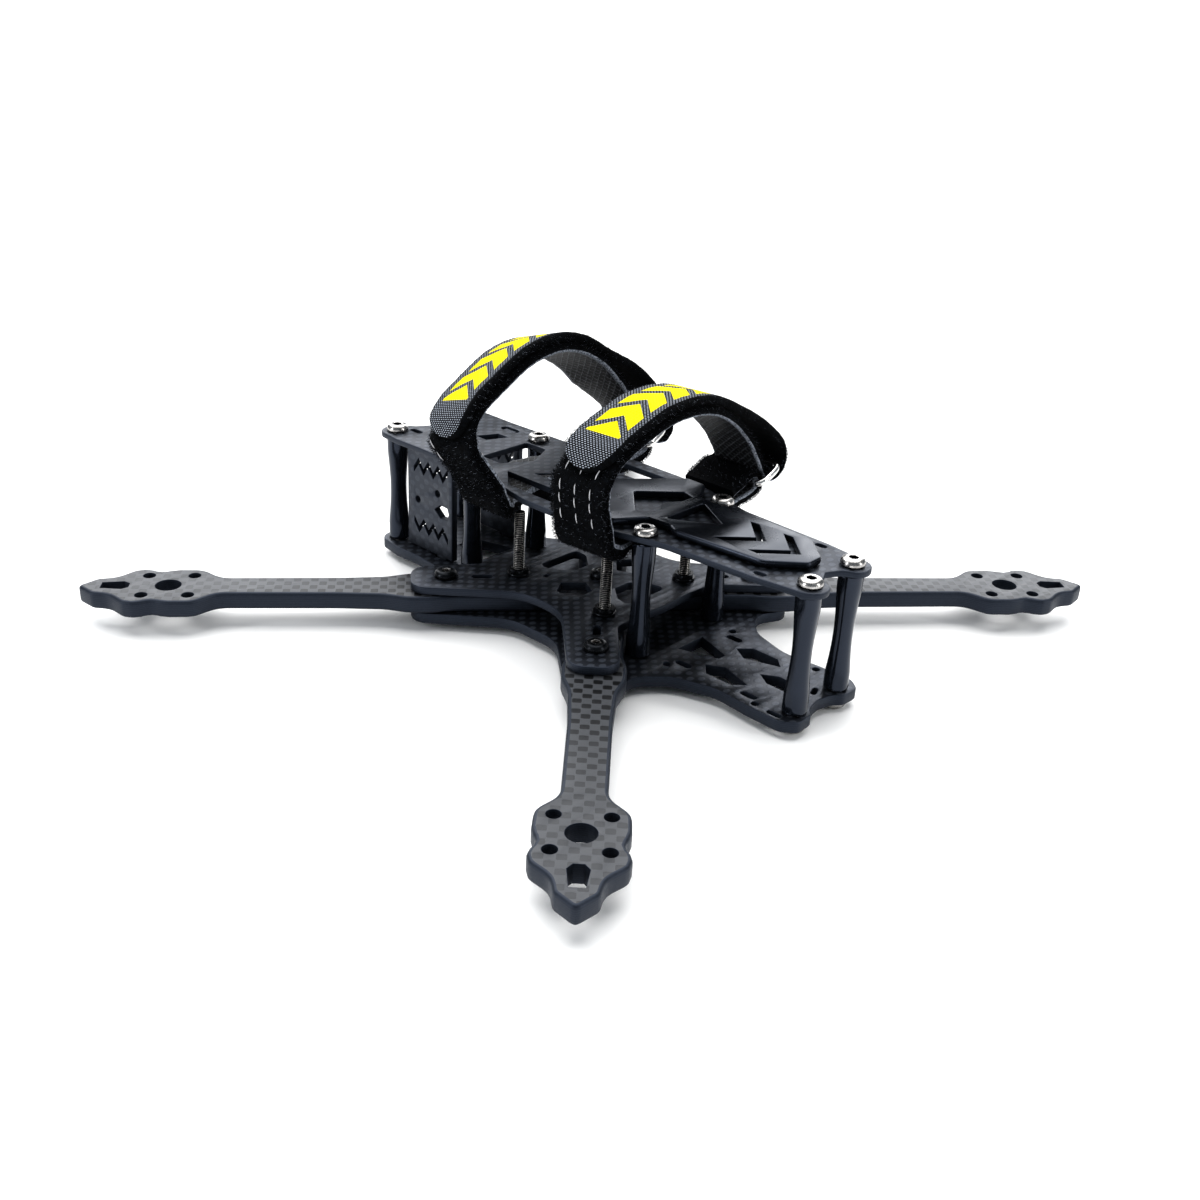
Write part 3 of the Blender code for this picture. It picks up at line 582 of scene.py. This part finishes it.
def make_plate(node, face, edge, rim=0.3, hole_rim=0.15, weave_angle=0.0, steps=2):
    """A flat CAD node rebuilt with smooth outlines, rounded rims, woven faces and cut edges."""
    source = node_mesh(node)
    low, high = node_box(node)
    size = high - low
    axis = min(range(3), key=lambda i: size[i])
    first, second = (axis + 1) % 3, (axis + 2) % 3
    top = [f for f in source.faces if f.normal[axis] > 0.9]
    loops = [[Vector((p[first], p[second])) for p in loop] for loop in outline_loops(top)]
    source.free()
    loops = [halve_chords(halve_chords(loop)) for loop in loops]
    widest = max(loops, key=lambda loop: max(p.x for p in loop) - min(p.x for p in loop))
    work = bmesh.new()
    uv_layer = work.loops.layers.uv.verify()
    turn = Matrix.Rotation(radians(-weave_angle), 2)

    def solid_point(p, height):
        """A plan point at a height along the plate's thin axis."""
        point = Vector((0, 0, 0))
        point[first], point[second], point[axis] = p.x, p.y, height
        return point

    lids = {0: [], -1: []}
    for loop in loops:
        rounding = rim if loop is widest else hole_rim
        levels = round_over(rounding, low[axis], high[axis], steps)
        flat_rings = [inset(loop, amount) for amount, _ in levels]
        rings = [[solid_point(p, height) for p in ring] for ring, (_, height) in zip(flat_rings, levels)]
        run = [0.0]
        for i in range(len(loop) - 1):
            run.append(run[-1] + (loop[i + 1] - loop[i]).length)
        uv_rows = [[(along, height) for along in run] for _, height in levels]
        corners = loft(work, rings, uv_rows, material=1)
        for end in lids:
            lids[end].append((flat_rings[end], corners[end]))
    for end, rims in lids.items():
        flat = [p for ring, _ in rims for p in ring]
        verts = [v for _, ring in rims for v in ring]
        for triangle in tessellate_polygon([[p.to_3d() for p in ring] for ring, _ in rims]):
            lid = work.faces.new([verts[i] for i in triangle])
            for corner, i in zip(lid.loops, [verts.index(c.vert) for c in lid.loops]):
                corner[uv_layer].uv = turn @ flat[i]
    return add_piece(node + "_look", work, "frame", [face, edge], [node], sharp=33.0)


# ---------------------------------------------------------------- standoffs and fasteners

def standoff_mesh(length):
    """An hour-glass standoff with two wrench flats near its foot."""
    end, waist = 2.95, 2.3
    knots = [Vector((end - 0.25, 0, 0)), Vector((end, 0, 0.3)), Vector((end, 0, 1.6)),
             Vector((end - 0.06, 0, 4.5)), Vector((waist + 0.25, 0, 8.5)), Vector((waist, 0, 13.0)),
             Vector((waist + 0.02, 0, 17.5)), Vector((waist + 0.3, 0, 22.0)),
             Vector((end - 0.06, 0, 25.6)), Vector((end, 0, length - 1.2)),
             Vector((end, 0, length - 0.3)), Vector((end - 0.25, 0, length))]
    profile = catmull(knots, 4)
    work = bmesh.new()
    rings = [circle(BORE, 0.0)] + [circle(p.x, p.z) for p in profile] + [circle(BORE, length)]
    loft(work, rings + [circle(BORE, 0.0)])
    bmesh.ops.remove_doubles(work, verts=work.verts, dist=0.0001)
    for vert in work.verts:
        if 0.2 < vert.co.z < 4.4 and vert.co.xy.length > 2:
            vert.co.x = max(-2.72, min(2.72, vert.co.x))
    return work


def button_head(work, height, radius):
    """Rings of a button head with a hexagon socket, its seat at z = 0."""
    dome = [(radius - 0.12, 0.0), (radius, 0.12), (radius, 0.35)]
    for k in range(1, 7):
        a = radians(15 * k)
        dome.append((1.65 + (radius - 1.65) * cos(a), 0.35 + (height - 0.35) * sin(a)))
    rings = [circle(r, z) for r, z in dome]
    rings.append(circle(SOCKET_APOTHEM * 1.32, height))
    rings.append(hexagon(SOCKET_APOTHEM * 1.06, height - 0.06))
    corners = loft(work, rings)
    # The socket walls take a screw's second material: black steel on the bright screws, a painted shade
    # in the recess, and bright steel on the black bolts
    deep = [hexagon(SOCKET_APOTHEM, height - 0.18), hexagon(SOCKET_APOTHEM, 0.35)]
    socket = loft(work, rings[-1:] + deep, material=1)
    cap(work, socket[-1])
    return corners[0]


def thread_rings(radius, low, high):
    """Rings of a screw thread, a helix cut into a round rod, with its crest marked in u."""
    per_pitch = 6
    sides = 24
    count = int((high - low) / THREAD_PITCH * per_pitch)
    rings = []
    marks = []
    for row in range(count + 1):
        z = low + (high - low) * row / count
        ring = []
        mark = []
        for i in range(sides):
            phase = (z / THREAD_PITCH - i / sides) % 1.0
            crest = 1 - abs(2 * phase - 1)
            fade = min(1.0, (high - z) / 0.5 + 0.25)
            r = (radius - THREAD_DEPTH + THREAD_DEPTH * crest) * (0.86 + 0.14 * fade)
            a = 2 * pi * i / sides
            ring.append(Vector((r * cos(a), r * sin(a), z)))
            mark.append((crest, 0.0))
        rings.append(ring)
        marks.append(mark)
    return rings, marks


def screw_mesh(length, head_height, threaded_from):
    """A button-head screw, its head's seat at z = 0 and its shank along -Z."""
    work = bmesh.new()
    seat = button_head(work, head_height, HEAD_RADIUS)
    plain = length if threaded_from is None else threaded_from
    corners = loft(work, [circle(SHANK_RADIUS, 0.0), circle(SHANK_RADIUS, -plain)])
    cap(work, corners[-1])
    if threaded_from is not None:
        rings, marks = thread_rings(SHANK_RADIUS, threaded_from, length)
        mirrored = [[Vector((p.x, -p.y, -p.z)) for p in ring] for ring in rings]
        rows = loft(work, mirrored, marks)
        socket = [[Vector((p.x * f, p.y * f, -length + dz)) for p in mirrored[-1]]
                  for f, dz in ((0.72, 0.0), (0.6, 0.35), (0.3, 0.4))]
        inner = loft(work, [mirrored[-1]] + socket)
        cap(work, inner[-1])
        cap(work, rows[0])
    work.faces.new(seat)
    bmesh.ops.remove_doubles(work, verts=work.verts, dist=0.0001)
    return work


def flange_nut_mesh(height):
    """A flange nut with a coned flange and a chamfered hexagon."""
    flats, flange = 2.42, 2.95
    rings = [circle(BORE, 0.0), circle(flange - 0.08, 0.0), circle(flange, 0.1),
             circle(flange, 0.32), circle(flange - 0.06, 0.42), circle(2.85, 0.55),
             hexagon(flats, 0.6), hexagon(flats, height - 0.3), circle(flats + 0.03, height),
             circle(BORE + 0.25, height), circle(BORE, height - 0.25), circle(BORE, 0.0)]
    work = bmesh.new()
    loft(work, rings)
    bmesh.ops.remove_doubles(work, verts=work.verts, dist=0.0001)
    return work


def place_copies(mesh_of, nodes, materials, sharp, flip=False, base="low"):
    """One mesh shared by every node of a kind, standing on the node's lowest or highest point."""
    mesh = None
    for node in nodes:
        low, high = node_box(node)
        if mesh is None:
            piece = add_piece(node + "_look", mesh_of, "frame", materials, [node], sharp)
            mesh = piece.data
        else:
            piece = link_piece(node + "_look", mesh, "frame", materials, [node])
        z = low.z if base == "low" else high.z
        turn = Matrix.Rotation(pi, 4, "X") if flip else Matrix.Identity(4)
        spin = Matrix.Rotation(radians(37 * len(node) + 11 * low.x), 4, "Z")
        spot = Matrix.Translation(Vector(((low.x + high.x) / 2, (low.y + high.y) / 2, z)) * MM)
        piece.matrix_local = spot @ turn @ spin


def named(start):
    """CAD nodes whose names begin so, in order."""
    return sorted(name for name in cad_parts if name.startswith(start))


def make_fasteners(anodised, bright, black):
    """Every standoff, screw, bolt and nut."""
    low, high = node_box("standoff_nose_left")
    place_copies(standoff_mesh(high.z - low.z), named("standoff_"), [anodised], 28)

    def from_head(node, threaded_from=None):
        """A screw as long as the node, the top of its head at z = 0."""
        low, high = node_box(node)
        work = screw_mesh(high.z - low.z - HEAD_HEIGHT, HEAD_HEIGHT, threaded_from)
        bmesh.ops.translate(work, vec=(0, 0, -HEAD_HEIGHT), verts=work.verts)
        return work

    top_screws, bottom_screws = named("top_screw_"), named("bottom_screw_")
    # The bright screws' sockets are black steel: painted shade in the recess
    place_copies(from_head(top_screws[0]), top_screws, [bright, black], 30, base="high")
    place_copies(from_head(bottom_screws[0]), bottom_screws, [bright, black], 30, True)
    stack_bolts = named("stack_bolt_")
    arm_bolts = named("arm_bolt_") + ["centre_bolt"]
    place_copies(from_head(stack_bolts[0], THREADED_FROM), stack_bolts,
                 [black, bright], 50, True)
    place_copies(from_head(arm_bolts[0]), arm_bolts, [black, bright], 30, base="high")
    low, high = node_box("centre_nut")
    place_copies(flange_nut_mesh(high.z - low.z), named("stack_nut_"), [black], 25)
    place_copies(flange_nut_mesh(high.z - low.z), named("arm_nut_") + ["centre_nut"],
                 [black], 25, True, base="high")


# ---------------------------------------------------------------- straps

def ribbon_pairs(loop):
    """Facing corners of the two sides of a ribbon, from the outline of its edge."""
    count = len(loop)
    half = count // 2

    def pairs_from(start):
        """Facing corners if the ribbon's end lies at a corner."""
        return [(loop[(start + i) % count], loop[start - 1 - i]) for i in range(half)]

    def skew(start):
        """How far from square the pairs lie to the ribbon's run."""
        pairs = pairs_from(start)
        middle = [(a + b) / 2 for a, b in pairs]
        total = 0.0
        for (a, b), before, after in zip(pairs[1:-1], middle, middle[2:]):
            total += abs((a - b).normalized().dot((after - before).normalized()))
        return total

    pairs = pairs_from(min(range(count), key=skew))
    if pairs[0][0].x < pairs[-1][0].x:
        pairs.reverse()
    return pairs


def rim_faces(source, sign):
    """Faces of a strap's edge towards +Y or -Y: all their corners lie on that side."""
    rim = {vert for vert in source.verts for edge in vert.link_edges
           if (vert.co.y - edge.other_vert(vert).co.y) * sign > CROSSING}
    return [face for face in source.faces if rim.issuperset(face.verts)]


class Band:
    """A strap's run: its middle, the way across it, the way off its loop side, its size."""

    def __init__(self, node):
        source = node_mesh(node)
        edges = []
        for sign in (-1, 1):
            pairs = ribbon_pairs(outline_loops(rim_faces(source, sign))[0])
            edges.append([catmull(line, 3) for line in zip(*pairs)])
        source.free()
        near = [(a + b) / 2 for a, b in zip(*edges[0])]
        far = [(a + b) / 2 for a, b in zip(*edges[1])]
        self.half_thick = [(a - b).length / 2 for a, b in zip(*edges[0])]
        self.middle = [(a + b) / 2 for a, b in zip(near, far)]
        count = len(self.middle)
        self.across = [(b - a).normalized() for a, b in zip(near, far)]
        self.half_width = [(b - a).length / 2 for a, b in zip(near, far)]
        self.off = []
        self.run = [0.0]
        for i in range(count):
            self.off.append(self.ahead(i).cross(self.across[i]).normalized())
            if i:
                self.run.append(self.run[-1] + (self.middle[i] - self.middle[i - 1]).length)
        self.fold = max(range(count), key=lambda i: self.middle[i].x)

    def ahead(self, i):
        """The way along the strap at a station."""
        last = len(self.middle) - 1
        return (self.middle[min(i + 1, last)] - self.middle[max(i - 1, 0)]).normalized()

    def point(self, i, u, v):
        """A point at a station, u from the middle towards the nose, v off the loop side."""
        return self.middle[i] + self.across[i] * u + self.off[i] * v


def strap_section(half_width):
    """(u, v) points round a strap of half thickness 1, from its loop side round to the other."""
    corner = 0.75
    flat = 8
    top = [(-(half_width - corner) + 2 * (half_width - corner) * k / flat, 1.0)
           for k in range(flat + 1)]
    bend = [(half_width - corner + corner * sin(radians(a)), cos(radians(a)))
            for a in (30, 60, 90, 120, 150)]
    other = [(-u, -v) for u, v in top]
    other_bend = [(-u, -v) for u, v in bend]
    return top + bend + other + other_bend, flat, len(bend)


def make_strap(name, node, body, materials, seed):
    """The strap itself: pile on its loop side, grip inside, printed webbing on its tail."""
    band = Band(node)
    count = len(band.middle)
    total = band.run[-1]
    chance = random.Random(seed)
    wobble = [chance.uniform(-0.12, 0.12) for _ in range(count)]
    rings = []
    uv_rows = []
    reach = band.half_width[0]
    section, flat, bend = strap_section(reach)
    for i in range(count):
        to_tip = total - band.run[i]
        short = max(0.0, TIP_LENGTH - to_tip)
        tip = sqrt(max(0.02, 1 - (short / (TIP_LENGTH + 0.1)) ** 2))
        width = band.half_width[i] / reach * tip
        thick = band.half_thick[i] * (0.96 + 0.03 * sin(band.run[i] * 1.7))
        rings.append([band.point(i, u * width + wobble[i] * (abs(u) > reach - 1), v * thick)
                      for u, v in section])
        uv_rows.append([(u * width, to_tip) for u, _ in section])
    work = bmesh.new()
    corners = loft(work, rings, uv_rows)
    work.faces.index_update()
    per_row = len(section)
    pile, webbing, grip, selvedge = 0, 1, 2, 3
    other_side = range(flat + bend, 2 * flat + bend + 1)
    beside_grip = (flat + bend - 1, flat + bend, 2 * flat + bend + 1, 2 * flat + bend + 2)
    for index, face in enumerate(list(work.faces)):
        row, column = divmod(index, per_row)
        if column in beside_grip and row < band.fold:
            face.material_index = selvedge
        elif column not in other_side:
            face.material_index = pile
        elif row >= band.fold:
            face.material_index = webbing
        else:
            face.material_index = grip
    cap(work, corners[0])
    cap(work, list(reversed(corners[-1])))
    add_piece(name, work, body, materials, [node], sharp=60.0)
    return band


def make_fuzz(name, band, body, materials, seed):
    """Fibres that stand off the strap's edges and its loop side, a few of them painted light grey as
    glints.
    """
    chance = random.Random(seed)
    work = bmesh.new()
    count = len(band.middle)

    def fibre(i, u, v, lean_u, lean_v, length):
        """One fibre, a thin triangle that stands on the strap at u, v."""
        ahead = band.ahead(i)
        root = band.point(i, u, v) + ahead * chance.uniform(-0.5, 0.5)
        way = (band.across[i] * lean_u + band.off[i] * lean_v + ahead * chance.uniform(-0.9, 0.9))
        # About a tenth of the fibres are thinner and take the light grey glint material: painted
        # highlights
        light = chance.random() < 0.1
        side = ahead * (0.03 if light else 0.06)
        tip = root + way.normalized() * length
        face = work.faces.new([work.verts.new(p) for p in (root - side, root + side, tip)])
        face.material_index = 1 if light else 0

    for i in range(2, count - 6):
        half, thick = band.half_width[i], band.half_thick[i]
        lowest = -0.2 if i < band.fold else -0.8
        for edge in (-1, 1):
            for _ in range(int(30 * thick)):
                fibre(i, edge * (half - 0.12), thick * chance.uniform(lowest, 1.0), edge * 1.0,
                      chance.uniform(-0.6, 0.8), chance.uniform(0.35, 1.2))
        open_face = i < band.fold and not COVERED[0] < band.middle[i].x < COVERED[1]
        for _ in range(90 if open_face else 0):
            fibre(i, chance.uniform(-half, half), thick - 0.05, chance.uniform(-1.2, 1.2), 0.8,
                  chance.uniform(0.3, 0.8))
    add_piece(name, work, body, materials)


def make_stitches(name, band, body, material, seams, depth):
    """Dashed seams on the loop side, from the tail's tip down to a depth below it."""
    work = bmesh.new()
    tip = band.middle[-1]
    left_side = [i for i in range(band.fold) if band.middle[i].x < PORT_SIDE]
    stations = [i for i in left_side if tip.z - depth < band.middle[i].z < tip.z + 1.0]
    start_run = band.run[stations[0]]
    for u in seams:
        for i in stations:
            here, before = (floor((band.run[k] - start_run) / STITCH_PITCH) for k in (i, i - 1))
            if here == before:
                continue
            heading = band.ahead(i)
            start = band.point(i, u, band.half_thick[i] + 0.02)
            rings = []
            for k in range(7):
                t = k / 6
                size = 0.13 * sqrt(max(0.05, 1 - (2 * t - 1) ** 4))
                rise = 0.16 * sin(pi * t)
                centre = start + heading * (STITCH * t) + band.off[i] * rise
                rings.append([centre + band.across[i] * size * cos(2 * pi * j / 8)
                              + band.off[i] * size * sin(2 * pi * j / 8) for j in range(8)])
            corners = loft(work, rings)
            cap(work, corners[0])
            cap(work, list(reversed(corners[-1])))
    add_piece(name, work, body, [material])


def make_ring(name, node, body, material):
    """The metal ring, its CAD wire made round."""
    work = node_mesh(node)
    bmesh.ops.dissolve_limit(work, angle_limit=radians(0.5), verts=work.verts, edges=work.edges)
    piece = add_piece(name, work, body, [material], [node], sharp=180.0)
    smooth = piece.modifiers.new("smooth", "SUBSURF")
    smooth.levels = 2
    smooth.render_levels = 2


# ---------------------------------------------------------------- the whole model

make_camera()
make_stage()
carbon_arm = carbon_material("carbon_arm", cell=2.2, fill=(0.86, 0.98), ground=0.062, tow=0.002,
                             squareness=6.0, gloss=0.3, tint=(0.93, 0.95, 1.0, 1.0), blue=1.15,
                             fade=0.5)
carbon_plate = carbon_material("carbon_plate", cell=1.9, fill=(1.05, 0.85), ground=0.0015, tow=0.03,
                               squareness=2.0, gloss=0.4, tint=COOL, blue=1.4)
carbon_side = carbon_material("carbon_side", cell=1.9, fill=(1.05, 0.85), ground=0.02, tow=0.034,
                              squareness=2.0, gloss=0.4, tint=COOL, blue=1.3)
cut_edge = cut_edge_material()
for end, end_sign in (("front", 1), ("rear", -1)):
    for side, side_sign in (("left", -1), ("right", 1)):
        make_plate(f"arm_{end}_{side}", carbon_arm, cut_edge, rim=0.85, hole_rim=0.1,
                   weave_angle=end_sign * side_sign * ARM_ANGLE, steps=3)
for plate_node in ("bottom_plate", "mid_plate", "top_plate"):
    make_plate(plate_node, carbon_plate, cut_edge)
for plate_node in ("camera_plate_left", "camera_plate_right"):
    make_plate(plate_node, carbon_side, cut_edge)
rubber = rubber_material()
make_plate("battery_pad", rubber, rubber, rim=0.5, hole_rim=0.25, steps=3)
make_fasteners(anodised_material(), steel_material("bright_steel", 0.5, 0.97, 0.2),
               black_thread_material())
cloths = [pile_material(), webbing_material(), grip_material(), selvedge_material()]
glint_fibres = glint_fibre_material()
stitching = thread_material()
ring_steel = steel_material("ring_steel", 0.82, 0.985, 0.12)
for place_name, seed, seams, depth in (("rear", 11, (-4.6, 0.2, 5.0), 13.0),
                                       ("front", 29, (6.0,), 6.5)):
    strap_body = f"{place_name}_strap"
    run = make_strap(f"{place_name}_strap_webbing", f"strap_{place_name}", strap_body, cloths, seed)
    make_fuzz(f"{place_name}_strap_fuzz", run, strap_body, [cloths[0], glint_fibres], seed + 1)
    make_stitches(f"{place_name}_strap_stitches", run, strap_body, stitching, seams, depth)
    make_ring(f"{place_name}_ring_wire", f"strap_ring_{place_name}", f"{place_name}_ring", ring_steel)
